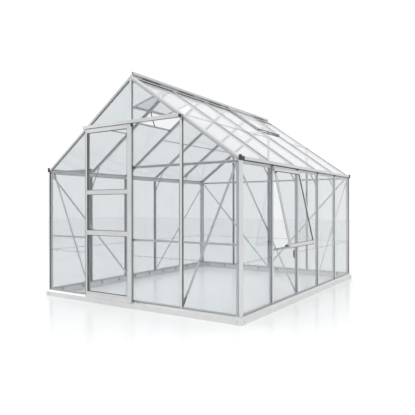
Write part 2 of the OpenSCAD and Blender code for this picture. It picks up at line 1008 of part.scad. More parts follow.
module door_rails() {
    color(bright) placed() {
        door_rail(door_z0, rail_foot);
        door_rail(rail_low_z, rail_low_h);
        door_rail(rail_high_z, rail_high_h);
        door_rail(door_top - rail_head, rail_head);
    }
}

module door_pane(z0, z1) {
    span3([rail_x0 + seat, door_y - glass_t / 2, z0 + seat],
          [rail_x1 - seat, door_y + glass_t / 2, z1 - seat]);
}

module door_glass() {
    color(pane) placed() {
        door_pane(door_z0 + rail_foot, rail_low_z);
        door_pane(rail_low_z + rail_low_h, rail_high_z);
        door_pane(rail_high_z + rail_high_h, door_top - rail_head);
    }
}

wheel_z = track_top - track_h + track_t + seat + wheel_r;

// Plates that carry the leaf up through the slot in the track
module door_hangers() {
    w = 24;
    above_pin = 5;
    pin_d = 5;
    pin_len = 2 * (wheel_w + wheel_gap) + hanger_t;
    color(mill) placed()
        for (x = hanger_x) {
            span3([x - w / 2, door_y - hanger_t / 2, door_top],
                  [x + w / 2, door_y + hanger_t / 2, wheel_z + above_pin]);
            translate([x, door_y + pin_len / 2, wheel_z])
                rotate([90, 0, 0])
                    cylinder(d = pin_d, h = pin_len, $fn = 32);
        }
}

// Two wheels on each hanger, one on either side of the plate
module door_wheels() {
    bore = 5.2;
    color(plastic) placed()
        for (x = hanger_x, side = [-1, 1])
            translate([x, door_y + side * (hanger_t / 2 + wheel_gap + wheel_w / 2), wheel_z])
                rotate([90, 0, 0])
                    difference() {
                        cylinder(r = wheel_r, h = wheel_w, center = true, $fn = 48);
                        cylinder(d = bore, h = wheel_w + 2, center = true, $fn = 32);
                    }
}

base_front();
base_back();
base_left();
base_right();
sills();
corner_posts();
side_posts();
gable_posts_front();
gable_posts_back();
gable_rafters_front();
gable_rafters_back();
eave_gutter_left();
eave_gutter_right();
gutter_end_caps();
ridge_beam();
roof_bars_left();
roof_bars_right();
cross_rails_front();
cross_rails_back();
door_header();
gable_braces();
side_braces();
knee_brackets();
sill_cleats();
door_track();
track_stops();
glass_front();
glass_back();
glass_left();
glass_right();
glass_roof_left();
glass_roof_right();
roof_vents();
roof_vent_glass();
roof_vent_sills();
roof_vent_stay();
side_window_leaf();
side_window_glass();
side_window_surround();
side_window_stay();
door_stiles();
door_rails();
door_glass();
door_hangers();
door_wheels();
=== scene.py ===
import json
import math

import bmesh
import bpy
from mathutils import Matrix, Vector


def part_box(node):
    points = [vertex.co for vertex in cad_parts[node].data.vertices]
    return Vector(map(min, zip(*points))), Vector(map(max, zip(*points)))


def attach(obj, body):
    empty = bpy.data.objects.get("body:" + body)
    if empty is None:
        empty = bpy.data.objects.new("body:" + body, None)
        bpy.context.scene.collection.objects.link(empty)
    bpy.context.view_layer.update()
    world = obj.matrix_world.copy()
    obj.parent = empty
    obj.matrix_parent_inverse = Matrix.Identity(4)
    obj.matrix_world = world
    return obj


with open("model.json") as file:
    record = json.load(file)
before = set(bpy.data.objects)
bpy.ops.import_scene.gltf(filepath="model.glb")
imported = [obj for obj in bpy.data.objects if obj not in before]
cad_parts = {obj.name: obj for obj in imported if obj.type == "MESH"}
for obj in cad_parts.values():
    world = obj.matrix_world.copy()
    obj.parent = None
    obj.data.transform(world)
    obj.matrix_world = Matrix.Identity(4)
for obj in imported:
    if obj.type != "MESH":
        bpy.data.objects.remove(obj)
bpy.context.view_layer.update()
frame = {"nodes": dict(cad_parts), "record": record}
nodes = frame["nodes"]
slot_of = {s["node"]: s["material_slot"] for s in frame["record"]["subparts"]}

# ------------------------------------------------------------------ the greenhouse's own sizes

corner_lo, corner_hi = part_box("corner_posts")
nose = 0.006                                    # how far a bar's nose stands out
mid = (corner_lo + corner_hi) / 2               # middle of the building
mid.z = 0
half_w = (corner_hi.x - corner_lo.x) / 2 - nose
half_l = (corner_hi.y - corner_lo.y) / 2 - nose
bay = half_w / 2                                # four bays across a gable
bars_long = round(2 * half_l / bay) - 1         # bars along a side wall
side_lines = [(i - (bars_long - 1) / 2) * bay for i in range(bars_long)]
gable_lines = [-bay, 0, bay]
side_bays = [(i - bars_long / 2) * bay for i in range(bars_long + 1)]   # middles of the bays
gable_bays = [(i - 1.5) * bay for i in range(4)]
door_bay = gable_bays[2]                        # in the front wall's own frame
window_bay = side_bays[-2]                      # in the right wall's own frame
vent_bay = side_bays[-2]                        # in each roof slope's own frame

pitch = math.radians(35.4)
rafter_depth = 0.030
eave_z = corner_hi.z + rafter_depth / math.cos(pitch) + 0.0003
ridge_z = eave_z + half_w * math.tan(pitch)
slope = half_w / math.cos(pitch)                # from the ridge down to the eave
wing = 0.060                                    # ridge wing's reach down each slope

base_lo, base_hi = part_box("base_front")
base_reach = corner_lo.y - base_lo.y + nose
base_h = base_hi.z
sill_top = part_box("sills")[1].z
glass_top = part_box("glass_left")[1].z
gutter_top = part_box("eave_gutter_right")[1].z
gutter_foot = eave_z - 0.013                    # underside of the gutter
wall_lap_z = 0.514                              # where an upper wall pane covers the lower one
upper_lap_z = eave_z - 0.033                    # the same in the top row of a gable
roof_lap_s = 0.766                              # foot of the upper roof panes
track_lo, track_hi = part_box("door_track")
door_lo, door_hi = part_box("door_stiles")

cap_w = 0.024                                   # aluminium capping over a bar's nose
cap_n = 0.0084                                  # how far out the capping's underside lies
cap_t = 0.0018                                  # sheet of cappings, covers and corner plates
leg_n = 0.0022                                  # how far the capping's edges turn down
rubber_n = 0.0040                               # underside of the rubber below a capping
bar_back = -0.0262                              # just behind the bars' inner face
head_gap = 0.030                                # from a gable post's capping up to the slope

knee_drop = 0.180                               # bolt of a knee in the post, below the eave
knee_reach = 0.150                              # and in the roof bar, in from the wall
knee_in = 0.015                                 # depth of both bolts in their channels

window_length = 0.778                           # of the leaf, from its hinge to its foot
window_open = math.radians(12.5)
vent_length = 0.560
vent_open = math.radians(20)
leaf_over = 0.008                               # a leaf's reach past the bars' middles

square_on = 0.9                                 # least cosine at which a face looks one way
sharp_from = math.radians(50)                   # edges that are rounded
smooth_to = math.radians(35)                    # edges that are shaded smooth


# ------------------------------------------------------------------ frames of the walls and roof

X, Y, Z = Vector((1, 0, 0)), Vector((0, 1, 0)), Vector((0, 0, 1))


def at(frame_of, x=0, y=0, z=0):
    """A wall's or roof's frame, moved along its own axes."""
    return frame_of @ Matrix.Translation((x, y, z))


def wall(side):
    """Frame of a wall: X along it, Y outwards from the glazing face, Z up from the floor."""
    turn = {"back": 0, "left": 90, "front": 180, "right": 270}[side]
    out = half_l if side in ("front", "back") else half_w
    return (Matrix.Translation(mid) @ Matrix.Rotation(math.radians(turn), 4, "Z")
            @ Matrix.Translation((0, out, 0)))


def roof(side):
    """Frame of a roof slope: X down it from the ridge, Y along the building, Z outwards."""
    turn = {"right": 0, "left": 180}[side]
    return (Matrix.Translation(mid + Vector((0, 0, ridge_z)))
            @ Matrix.Rotation(math.radians(turn), 4, "Z") @ Matrix.Rotation(pitch, 4, "Y"))


# every upright and every roof bar on the long sides
wall_bars = [at(wall(side), y) for side in ("left", "right") for y in side_lines]
roof_bars = [at(roof(side), 0, y) for side in ("left", "right") for y in side_lines]


# ------------------------------------------------------------------ materials

def new_material(name):
    """A material with its node tree and its shader node."""
    mat = bpy.data.materials.new(name)
    mat.use_nodes = True
    tree = mat.node_tree
    shader = tree.nodes["Principled BSDF"]
    return mat, tree, shader


def add(tree, kind, **values):
    """A node with its settings and, for names that match a socket, that socket's value."""
    made = tree.nodes.new(kind)
    for name, value in values.items():
        label = name.replace("_", " ")
        if label in made.inputs:
            made.inputs[label].default_value = value
        else:
            setattr(made, name, value)
    return made


def effect_group(name, inputs, outputs):
    """A node group with its (name, type, default) inputs and (name, type) outputs, not linked yet."""
    group = bpy.data.node_groups.new(name, "ShaderNodeTree")
    for label, kind, default in inputs:
        socket = group.interface.new_socket(label, in_out="INPUT", socket_type=kind)
        socket.default_value = default
    for label, kind in outputs:
        group.interface.new_socket(label, in_out="OUTPUT", socket_type=kind)
    return group, group.nodes.new("NodeGroupInput"), group.nodes.new("NodeGroupOutput")


def metal_surface_group():
    """Drawn metal: fine streaks, cloudy oxide and small blotches, as colour, roughness and height."""
    group, given, put = effect_group(
        "metal_surface",
        [("Light", "NodeSocketColor", (0.8, 0.8, 0.8, 1)),
         ("Dark", "NodeSocketColor", (0.6, 0.6, 0.6, 1)),
         ("Cloud Scale", "NodeSocketFloat", 3.0),
         ("Grain Scale", "NodeSocketFloat", 180.0),
         ("Smooth", "NodeSocketFloat", 0.3),
         ("Rough", "NodeSocketFloat", 0.45)],
        [("Color", "NodeSocketColor"), ("Roughness", "NodeSocketFloat"),
         ("Height", "NodeSocketFloat")])
    place = add(group, "ShaderNodeTexCoord")
    cloud = add(group, "ShaderNodeTexNoise", Detail=4.0, Roughness=0.6)
    grain = add(group, "ShaderNodeTexNoise", Detail=2.0, Roughness=0.7)
    link = group.links.new
    link(place.outputs["Object"], cloud.inputs["Vector"])
    link(place.outputs["Object"], grain.inputs["Vector"])
    link(given.outputs["Cloud Scale"], cloud.inputs["Scale"])
    link(given.outputs["Grain Scale"], grain.inputs["Scale"])
    shade = add(group, "ShaderNodeMix", data_type="RGBA")
    link(cloud.outputs["Fac"], shade.inputs["Factor"])
    link(given.outputs["Dark"], shade.inputs["A"])
    link(given.outputs["Light"], shade.inputs["B"])
    cloud_share, grain_share = 0.6, 0.4
    both = add(group, "ShaderNodeMath", operation="MULTIPLY_ADD")
    both.inputs[1].default_value = grain_share
    clouds = add(group, "ShaderNodeMath", operation="MULTIPLY")
    clouds.inputs[1].default_value = cloud_share
    link(cloud.outputs["Fac"], clouds.inputs[0])
    link(grain.outputs["Fac"], both.inputs[0])
    link(clouds.outputs[0], both.inputs[2])
    rough = add(group, "ShaderNodeMapRange")
    link(both.outputs[0], rough.inputs["Value"])
    link(given.outputs["Smooth"], rough.inputs["To Min"])
    link(given.outputs["Rough"], rough.inputs["To Max"])
    link(shade.outputs["Result"], put.inputs["Color"])
    link(rough.outputs["Result"], put.inputs["Roughness"])
    link(grain.outputs["Fac"], put.inputs["Height"])
    return group


def metal(name, surface, light, dark, cloud_scale, grain_scale, smooth, rough, bump):
    """Bare metal, between a light and a dark colour and between two roughnesses."""
    mat, tree, shader = new_material(name)
    look = add(tree, "ShaderNodeGroup", node_tree=surface)
    for label, value in (("Light", (*light, 1)), ("Dark", (*dark, 1)), ("Cloud Scale", cloud_scale),
                         ("Grain Scale", grain_scale), ("Smooth", smooth), ("Rough", rough)):
        look.inputs[label].default_value = value
    relief = add(tree, "ShaderNodeBump", Strength=bump, Distance=0.0004)
    shader.inputs["Metallic"].default_value = 1.0
    tree.links.new(look.outputs["Color"], shader.inputs["Base Color"])
    tree.links.new(look.outputs["Roughness"], shader.inputs["Roughness"])
    tree.links.new(look.outputs["Height"], relief.inputs["Height"])
    tree.links.new(relief.outputs["Normal"], shader.inputs["Normal"])
    return mat


def moulded(name, light, dark, rough):
    """Matte moulded plastic with a fine spark texture."""
    mat, tree, shader = new_material(name)
    place = add(tree, "ShaderNodeTexCoord")
    spark = add(tree, "ShaderNodeTexNoise", Scale=900.0, Detail=2.0)
    wear = add(tree, "ShaderNodeTexNoise", Scale=14.0, Detail=3.0)
    shade = add(tree, "ShaderNodeMix", data_type="RGBA")
    shade.inputs["A"].default_value = (*dark, 1)
    shade.inputs["B"].default_value = (*light, 1)
    relief = add(tree, "ShaderNodeBump", Strength=0.25, Distance=0.0002)
    ramp = add(tree, "ShaderNodeMapRange")
    polished, worn = 0.08, 0.12                 # how far the roughness goes down and up
    ramp.inputs["To Min"].default_value = rough - polished
    ramp.inputs["To Max"].default_value = rough + worn
    link = tree.links.new
    link(place.outputs["Object"], spark.inputs["Vector"])
    link(place.outputs["Object"], wear.inputs["Vector"])
    link(wear.outputs["Fac"], shade.inputs["Factor"])
    link(wear.outputs["Fac"], ramp.inputs["Value"])
    link(spark.outputs["Fac"], relief.inputs["Height"])
    link(shade.outputs["Result"], shader.inputs["Base Color"])
    link(ramp.outputs["Result"], shader.inputs["Roughness"])
    link(relief.outputs["Normal"], shader.inputs["Normal"])
    return mat


def window_glass(name, light, dark):
    """Clear float glass with a faint tint, slight drawing waves and a dusty bloom.
    Lamps' light passes straight through it."""
    mat, tree, shader = new_material(name)
    shader.inputs["Transmission Weight"].default_value = 1.0
    shader.inputs["IOR"].default_value = 1.3
    place = add(tree, "ShaderNodeTexCoord")
    wave = add(tree, "ShaderNodeTexNoise", Scale=2.2, Detail=1.0)
    bloom = add(tree, "ShaderNodeTexNoise", Scale=6.0, Detail=5.0)
    shade = add(tree, "ShaderNodeMix", data_type="RGBA")
    shade.inputs["A"].default_value = (*dark, 1)
    shade.inputs["B"].default_value = (*light, 1)
    relief = add(tree, "ShaderNodeBump", Strength=0.02, Distance=0.002)
    rough = add(tree, "ShaderNodeMapRange")
    rough.inputs["From Min"].default_value = 0.55
    rough.inputs["From Max"].default_value = 0.8
    rough.inputs["To Min"].default_value = 0.0
    rough.inputs["To Max"].default_value = 0.04
    path = add(tree, "ShaderNodeLightPath")
    through = add(tree, "ShaderNodeBsdfTransparent")
    through.inputs["Color"].default_value = (0.93, 0.94, 0.943, 1)
    choice = add(tree, "ShaderNodeMixShader")
    out = tree.nodes["Material Output"]
    link = tree.links.new
    link(place.outputs["Object"], wave.inputs["Vector"])
    link(place.outputs["Object"], bloom.inputs["Vector"])
    link(bloom.outputs["Fac"], shade.inputs["Factor"])
    link(bloom.outputs["Fac"], rough.inputs["Value"])
    link(wave.outputs["Fac"], relief.inputs["Height"])
    link(shade.outputs["Result"], shader.inputs["Base Color"])
    link(rough.outputs["Result"], shader.inputs["Roughness"])
    link(relief.outputs["Normal"], shader.inputs["Normal"])
    link(path.outputs["Is Shadow Ray"], choice.inputs["Fac"])
    link(shader.outputs["BSDF"], choice.inputs[1])
    link(through.outputs["BSDF"], choice.inputs[2])
    link(choice.outputs["Shader"], out.inputs["Surface"])
    return mat


surface = metal_surface_group()
finishes = {
    "bright_aluminium": metal("bright_aluminium", surface, (0.72, 0.725, 0.73), (0.57, 0.58, 0.59),
                              2.5, 260.0, 0.30, 0.46, 0.12),
    "light_aluminium": metal("light_aluminium", surface, (0.76, 0.76, 0.755), (0.62, 0.625, 0.63),
                             2.0, 240.0, 0.30, 0.44, 0.10),
    "satin_aluminium": metal("satin_aluminium", surface, (0.66, 0.665, 0.67), (0.50, 0.51, 0.52),
                             2.8, 240.0, 0.30, 0.46, 0.12),
    # mill aluminium: partly the real darker mill finish, partly painted shade that darkens the members
    # inside the glass house
    "mill_aluminium": metal("mill_aluminium", surface, (0.56, 0.57, 0.585), (0.41, 0.42, 0.435),
                            3.5, 220.0, 0.30, 0.48, 0.15),
    "base_steel": metal("base_steel", surface, (0.80, 0.805, 0.805), (0.66, 0.665, 0.67),
                        9.0, 60.0, 0.34, 0.55, 0.10),
    "zinc": metal("zinc", surface, (0.62, 0.62, 0.60), (0.40, 0.41, 0.42),
                  60.0, 300.0, 0.25, 0.5, 0.15),
    "black_plastic": moulded("black_plastic", (0.035, 0.035, 0.038), (0.018, 0.018, 0.02), 0.5),
    "rubber": moulded("rubber", (0.10, 0.10, 0.105), (0.055, 0.055, 0.06), 0.62),
    "pale_plastic": moulded("pale_plastic", (0.80, 0.82, 0.825), (0.70, 0.72, 0.73), 0.4),
    "pane_glass": window_glass("pane_glass", (0.822, 0.84, 0.85), (0.777, 0.799, 0.812)),
}
# nodes whose real finish differs a little from the rest of their slot; the sill cleats' darker mill
# aluminium also paints the shade inside the glass house; slot in the record that stands for a
# finish which the record doesn't have nodes whose real finish differs a little from the rest of
# their slot
special = {"sill_cleats": "mill_aluminium", "roof_bars_left": "satin_aluminium",
           "roof_bars_right": "satin_aluminium"}


def dress_cad_nodes():
    """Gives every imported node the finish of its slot."""
    for name, node in nodes.items():
        finish = finishes[special.get(name, slot_of[name])]
        for slot in node.material_slots:
            slot.material = finish


dress_cad_nodes()


# ------------------------------------------------------------------ modelling

def block(lo, hi):
    """A box between two corners, selected alone and in edit mode."""
    bpy.ops.object.select_all(action="DESELECT")
    lo, hi = Vector(lo), Vector(hi)
    bpy.ops.mesh.primitive_cube_add(size=1, location=(lo + hi) / 2)
    bpy.context.object.scale = hi - lo
    bpy.ops.object.transform_apply(location=True, rotation=True, scale=True)
    bpy.ops.object.mode_set(mode="EDIT")
    return bpy.context.object


def pick_faces(piece, test):
    """Selects, in edit mode, the faces whose centre and normal pass the test."""
    bpy.ops.mesh.select_mode(type="FACE")
    bpy.ops.mesh.select_all(action="DESELECT")
    mesh = bmesh.from_edit_mesh(piece.data)
    for face in mesh.faces:
        face.select_set(test(face.calc_center_median(), face.normal))
    bmesh.update_edit_mesh(piece.data)


def pick_edges(piece, test):
    """Selects, in edit mode, the edges whose two ends pass the test."""
    bpy.ops.mesh.select_mode(type="EDGE")
    bpy.ops.mesh.select_all(action="DESELECT")
    mesh = bmesh.from_edit_mesh(piece.data)
    for edge in mesh.edges:
        edge.select_set(test(edge.verts[0].co, edge.verts[1].co))
    bmesh.update_edit_mesh(piece.data)


def extrude(by):
    """Extrudes the selected faces, in edit mode, by a vector."""
    bpy.ops.mesh.extrude_region_move(TRANSFORM_OT_translate={"value": by})


def panel(piece, facing, rim, by, grow=False):
    """Insets the faces that look one way and moves them along it, or with grow extrudes them."""
    pick_faces(piece, lambda c, n: n.dot(facing) > square_on)
    bpy.ops.mesh.inset(thickness=rim)
    if grow:
        extrude(facing * by)
    else:
        bpy.ops.transform.translate(value=facing * by)


def mend_normals():
    """Turns every face of the piece in edit mode outwards."""
    bpy.ops.mesh.select_all(action="SELECT")
    bpy.ops.mesh.normals_make_consistent(inside=False)


def leave_edit():
    """Goes back to object mode."""
    bpy.ops.object.mode_set(mode="OBJECT")


def soften(piece, width, segments=2):
    """Leaves edit mode and rounds the sharp edges."""
    leave_edit()
    bevel = piece.modifiers.new("soft_edges", "BEVEL")
    bevel.width = width
    bevel.segments = segments
    bevel.limit_method = "ANGLE"
    bevel.angle_limit = sharp_from
    bpy.ops.object.modifier_apply(modifier=bevel.name)


def copies(piece, places):
    """The piece and its copies, each put at one of the places, joined into one."""
    made = []
    for place in places:
        copy = piece.copy()
        copy.data = piece.data.copy()
        copy.data.transform(place)
        bpy.context.collection.objects.link(copy)
        made.append(copy)
    bpy.data.objects.remove(piece)
    return joined(made)


def joined(made):
    """The pieces joined into the first of them."""
    bpy.ops.object.select_all(action="DESELECT")
    for each in made:
        each.select_set(True)
    bpy.context.view_layer.objects.active = made[0]
    if len(made) > 1:
        bpy.ops.object.join()
    return bpy.context.object


def finished(piece, name, finish, body="frame"):
    """Names the piece, gives it its finish and sets it on its body."""
    piece.name = piece.data.name = name
    piece.data.materials.clear()
    piece.data.materials.append(finishes[finish])
    bpy.ops.object.select_all(action="DESELECT")
    piece.select_set(True)
    bpy.context.view_layer.objects.active = piece
    bpy.ops.object.shade_smooth_by_angle(angle=smooth_to)
    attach(piece, body)


def pane_rubber(lo, hi, across, width):
    """Ring of rubber round a pane: a block opened on its two faces across, and bridged inside."""
    ring = block(lo, hi)
    sides = [axis for axis in range(3) if axis != across]
    pick_faces(ring, lambda c, n: abs(n[across]) > square_on)
    bpy.ops.mesh.inset(thickness=width)
    bpy.ops.mesh.delete(type="FACE")
    pick_edges(ring, lambda a, b: all(lo[axis] + width / 2 < v[axis] < hi[axis] - width / 2
                                      for v in (a, b) for axis in sides))
    bpy.ops.mesh.bridge_edge_loops()
    mend_normals()
    leave_edit()
    return ring


# ------------------------------------------------------------------ cappings and their rubbers

def strip(along, start, end, w, n0, n1):
    """Flat strip of width w along an axis, from n0 to n1 outwards, with its outward and sideways
    axes. Outwards is Y for an upright on a wall, and Z for a bar on the roof."""
    i = "XYZ".index(along)
    j = 0 if along == "Z" else 1
    k = 3 - i - j
    lo, hi = [0, 0, 0], [0, 0, 0]
    lo[i], hi[i] = start, end
    lo[j], hi[j] = -w / 2, w / 2
    lo[k], hi[k] = n0, n1
    axes = [Vector([1 if axis == which else 0 for axis in range(3)]) for which in (k, j)]
    return block(lo, hi), *axes


def capping(along, start, end):
    """Pressed aluminium capping over a bar's nose: a shallow channel along it, edges turned down."""
    edge, face_rim, dip = 0.0015, 0.0045, 0.0007
    piece, outer, side = strip(along, start, end, cap_w, cap_n, cap_n + cap_t)
    for sense in (-1, 1):
        bpy.ops.mesh.select_all(action="SELECT")
        bpy.ops.mesh.bisect(plane_co=side * sense * (cap_w / 2 - edge), plane_no=side)
    pick_faces(piece, lambda c, n: n.dot(outer) < -square_on and abs(c.dot(side)) > cap_w / 2 - edge)
    extrude(-outer * leg_n)
    panel(piece, outer, face_rim, -dip)
    soften(piece, 0.0004)
    return piece


def rubber(along, start, end):
    """Black strip between a capping's edges and the panes, its outer corners rounded."""
    n1 = cap_n - leg_n
    piece, outer, side = strip(along, start, end, cap_w - 0.0006, rubber_n, n1)
    pick_edges(piece, lambda a, b: min(a.dot(outer), b.dot(outer)) > n1 - 0.0001
               and abs((a - b).dot(side)) < 0.0001)
    bpy.ops.mesh.bevel(offset=0.0005, segments=2)
    leave_edit()
    return piece


def wall_cappings():
    """On every upright between two panes. Those on the door's gable stop for the track."""
    foot, head = sill_top - 0.004, glass_top - 0.002
    finished(copies(capping("Z", foot, head), wall_bars), "side_wall_cappings", "light_aluminium")
    finished(copies(rubber("Z", foot - 0.003, head), wall_bars), "side_wall_rubbers", "rubber")
    short = ridge_z - bay * math.tan(pitch) - head_gap
    tall = ridge_z - head_gap
    under, over = track_lo.z - 0.002, track_hi.z - 0.008
    for make, name, finish in ((capping, "cappings", "light_aluminium"),
                               (rubber, "rubbers", "rubber")):
        back = copies(make("Z", foot, short), [at(wall("back"), x) for x in gable_lines if x])
        mid_bar = copies(make("Z", foot, tall), [wall("back")])
        finished(joined([back, mid_bar]), "back_gable_" + name, finish)
        low = copies(make("Z", foot, under), [at(wall("front"), x) for x in gable_lines])
        high = copies(make("Z", over, tall), [wall("front")])
        finished(joined([low, high]), "front_gable_" + name, finish)


def roof_cappings():
    """On every roof bar, from the ridge wing down into the gutter."""
    top, foot = wing + 0.001, slope + 0.006
    finished(copies(capping("X", top, foot), roof_bars), "roof_cappings", "light_aluminium")
    finished(copies(rubber("X", top, foot - 0.001), roof_bars), "roof_bedding", "satin_aluminium")


def folded_corner(n0, run_x, run_y, z0, z1):
    """Folded angle over an outside corner, along Z: its legs run from n0 along -X and along -Y."""
    n1 = n0 + cap_t
    piece = block((n0, n0, z0), (n1, n1, z1))
    pick_faces(piece, lambda c, n: n.x < -square_on)
    extrude((-run_x, 0, 0))
    pick_faces(piece, lambda c, n: n.y < -square_on and c.x > n0)
    extrude((0, -run_y, 0))
    mend_normals()
    return rounded(piece, n1)


def rounded(piece, n1):
    """Rounds the outer edge of a piece over a corner and leaves edit mode."""
    pick_edges(piece, lambda a, b: min(a.x, a.y, b.x, b.y) > n1 - 0.0001)
    bpy.ops.mesh.bevel(offset=0.0016, segments=3)
    leave_edit()
    return piece


def angle_cover(leg_x, leg_y, length, inset):
    """Folded cover on the cappings' level, or inset from it. Its legs count from the panes' faces."""
    n0 = cap_n - inset
    return folded_corner(n0, leg_x + n0, leg_y + n0, 0, length)


def edge_strip(leg_x, leg_y, length):
    """The same as a solid strip, which takes in all between its legs."""
    n1 = cap_n + cap_t
    return rounded(block((-leg_x, -leg_y, 0), (n1, n1, length)), n1)


def corner_frames(z):
    """The building's corners at a height, each with its turn. -X and -Y run along its walls."""
    spots = []
    for turn, x, y in ((0, half_w, half_l), (90, -half_w, half_l),
                       (180, -half_w, -half_l), (270, half_w, -half_l)):
        place = (Matrix.Translation(mid + Vector((x, y, z)))
                 @ Matrix.Rotation(math.radians(turn), 4, "Z"))
        spots.append((turn, place))
    return spots


def corner_covers():
    """Light angle over every corner post, its wide leg on the side wall, and the rubber under it."""
    tall = glass_top + 0.004 - base_h
    wide, narrow = 0.030, 0.010
    shows, inset = 0.003, 0.0012                # the rubber's edge beside the cover, and its depth
    covers, rubbers = [], []
    for turn, place in corner_frames(base_h + 0.002):
        leg_x, leg_y = (narrow, wide) if turn in (0, 180) else (wide, narrow)
        covers.append(copies(angle_cover(leg_x, leg_y, tall, 0), [place]))
        rubbers.append(copies(angle_cover(leg_x + shows, leg_y + shows, tall, inset), [place]))
    finished(joined(covers), "corner_covers", "light_aluminium")
    finished(joined(rubbers), "corner_rubbers", "rubber")


def verge_covers():
    """Light strip along each sloping edge of the gables, over a darker angle with a wider gable leg."""
    start, end = 0.004, slope - 0.017
    length, inset = end - start, 0.0012
    covers, beds = [], []
    for side in ("left", "right"):
        for gable in (-1, 1):
            for made, piece in ((covers, edge_strip(0.007, 0.024, length)),
                                (beds, angle_cover(0.024, 0.027, length, inset))):
                # its length goes down the slope, one leg down the gable and one over the roof
                turned = Matrix(((0, 0, 1, start), (0, gable, 0, gable * half_l), (1, 0, 0, 0),
                                 (0, 0, 0, 1)))
                piece = copies(piece, [roof(side) @ turned])
                bpy.ops.object.mode_set(mode="EDIT")
                bpy.ops.mesh.select_all(action="SELECT")
                # cut off square at the ridge's middle
                out = 1 if side == "right" else -1
                bpy.ops.mesh.bisect(plane_co=mid + Vector((out * 0.0005, 0, 0)),
                                    plane_no=(out, 0, 0), clear_inner=True, use_fill=True)
                mend_normals()
                leave_edit()
                made.append(piece)
    finished(joined(covers), "verge_covers", "light_aluminium")
    finished(joined(beds), "verge_beds", "mill_aluminium")


# ------------------------------------------------------------------ base and eaves

def base_plates():
    """Folded plate round each corner of the base."""
    leg, z0, z1 = 0.060, 0.003, 0.0485
    plates = [copies(folded_corner(base_reach, leg, leg, z0, z1), [place])
              for turn, place in corner_frames(0)]
    finished(joined(plates), "base_corner_plates", "base_steel")


def pane_feet():
    """Strip that holds the foot of each pane against the sill's ledge."""
    half_bay = bay / 2 - cap_w / 2 - 0.004
    piece = block((-half_bay, 0.0042, sill_top - 0.0055), (half_bay, 0.0075, sill_top + 0.002))
    panel(piece, Y, 0.0012, 0.0008)
    leave_edit()
    places = [at(wall(side), y) for side in ("left", "right") for y in side_bays]
    places += [at(wall("back"), x) for x in gable_bays]
    places += [at(wall("front"), x) for x in gable_bays if x != door_bay]
    finished(copies(piece, places), "pane_foot_strips", "mill_aluminium")


def eave_details():
    """Dark rubber seal over the heads of the side panes, its dark band also painting the shade under
    the gutter, a bead on the gutter's lip, and clips at the posts.
    """
    reach = half_l - 0.046
    both = [wall("left"), wall("right")]
    # rubber seal under the gutter; its dark colour also paints the shade below the gutter
    seal_and_shade_strips = block((-reach, 0.0003, gutter_foot - 0.0080), (reach, 0.0045, gutter_foot - 0.0004))
    pick_edges(seal_and_shade_strips, lambda a, b: min(a.y, b.y) > 0.004 and abs(a.z - b.z) < 0.001)
    bpy.ops.mesh.bevel(offset=0.0015, segments=2)
    leave_edit()
    finished(copies(seal_and_shade_strips, both), "eave_seals_painted_shade", "rubber")

    bead = block((-half_l, 0.0140, gutter_top - 0.0002), (half_l, 0.0181, gutter_top + 0.0036))
    soften(bead, 0.0016, 3)
    finished(copies(bead, both), "gutter_beads", "light_aluminium")

    clip = block((-0.009, 0.0005, glass_top - 0.004), (0.009, 0.0115, gutter_foot - 0.0005))
    panel(clip, Y, 0.003, 0.0025, grow=True)
    soften(clip, 0.0012)
    finished(copies(clip, wall_bars), "eave_clips", "black_plastic")


# ------------------------------------------------------------------ ridge and roof vents

def ridge_details():
    """Cover over the head of every roof bar, dark rubber seals at the wing's edge that paint the shadow
    beneath the wing, and brushes along the ridge.
    """
    cover = block((0.010, -0.013, 0.0097), (wing + 0.004, 0.013, 0.0108))
    panel(cover, Z, 0.004, -0.0004)
    soften(cover, 0.0004)
    finished(copies(cover, roof_bars), "ridge_bar_covers", "satin_aluminium")

    # dark rubber strip in each bay under the wing's edge; its dark colour paints the shadow beneath the
    # wing
    seal = block((wing - 0.001, -bay / 2 + cap_w / 2, 0.0062),
                 (wing + 0.0035, bay / 2 - cap_w / 2, 0.0094))
    pick_edges(seal, lambda a, b: min(a.x, b.x) > wing + 0.003 and min(a.z, b.z) > 0.009)
    bpy.ops.mesh.bevel(offset=0.0015, segments=2)
    leave_edit()
    places = [at(roof(side), 0, y) for side in ("left", "right") for y in side_bays]
    finished(copies(seal, places), "ridge_seals_painted_shadow", "rubber")

    reach = 0.22 * bay
    brush = block((-reach, 0.0085, 0.0045), (reach, 0.0110, 0.0145))
    panel(brush, Y, 0.0012, 0.0010, grow=True)
    leave_edit()
    crown = Matrix.Translation(mid + Vector((0, 0, ridge_z)))
    places = [crown @ Matrix.Rotation(math.radians(turn), 4, "Z") @ Matrix.Translation((y, 0, 0))
              for turn in (90, 270) for y in side_bays]
    finished(copies(brush, places), "ridge_brushes", "black_plastic")


def roof_lap_strips():
    """Pale strip over the foot of each upper roof pane, left out under the two vents."""
    half_bay = bay / 2 - cap_w / 2 - 0.0015
    piece = block((roof_lap_s + 0.0002, -half_bay, 0.0040), (roof_lap_s + 0.0022, half_bay, 0.0074))
    pick_faces(piece, lambda c, n: n.z > square_on)
    extrude((0, 0, 0.0010))
    pick_faces(piece, lambda c, n: n.x < -square_on and c.z > 0.0075)
    extrude((-0.0050, 0, 0))
    soften(piece, 0.0003, 1)
    places = [at(roof(side), 0, y) for side in ("right", "left") for y in side_bays
              if y != vent_bay]
    finished(copies(piece, places), "roof_lap_strips", "pale_plastic")


# ------------------------------------------------------------------ bolts, clips and plates

to_plus_y = Matrix.Rotation(math.radians(-90), 4, "X")     # turns a bolt's axis from Z to +Y
to_minus_y = Matrix.Rotation(math.radians(90), 4, "X")


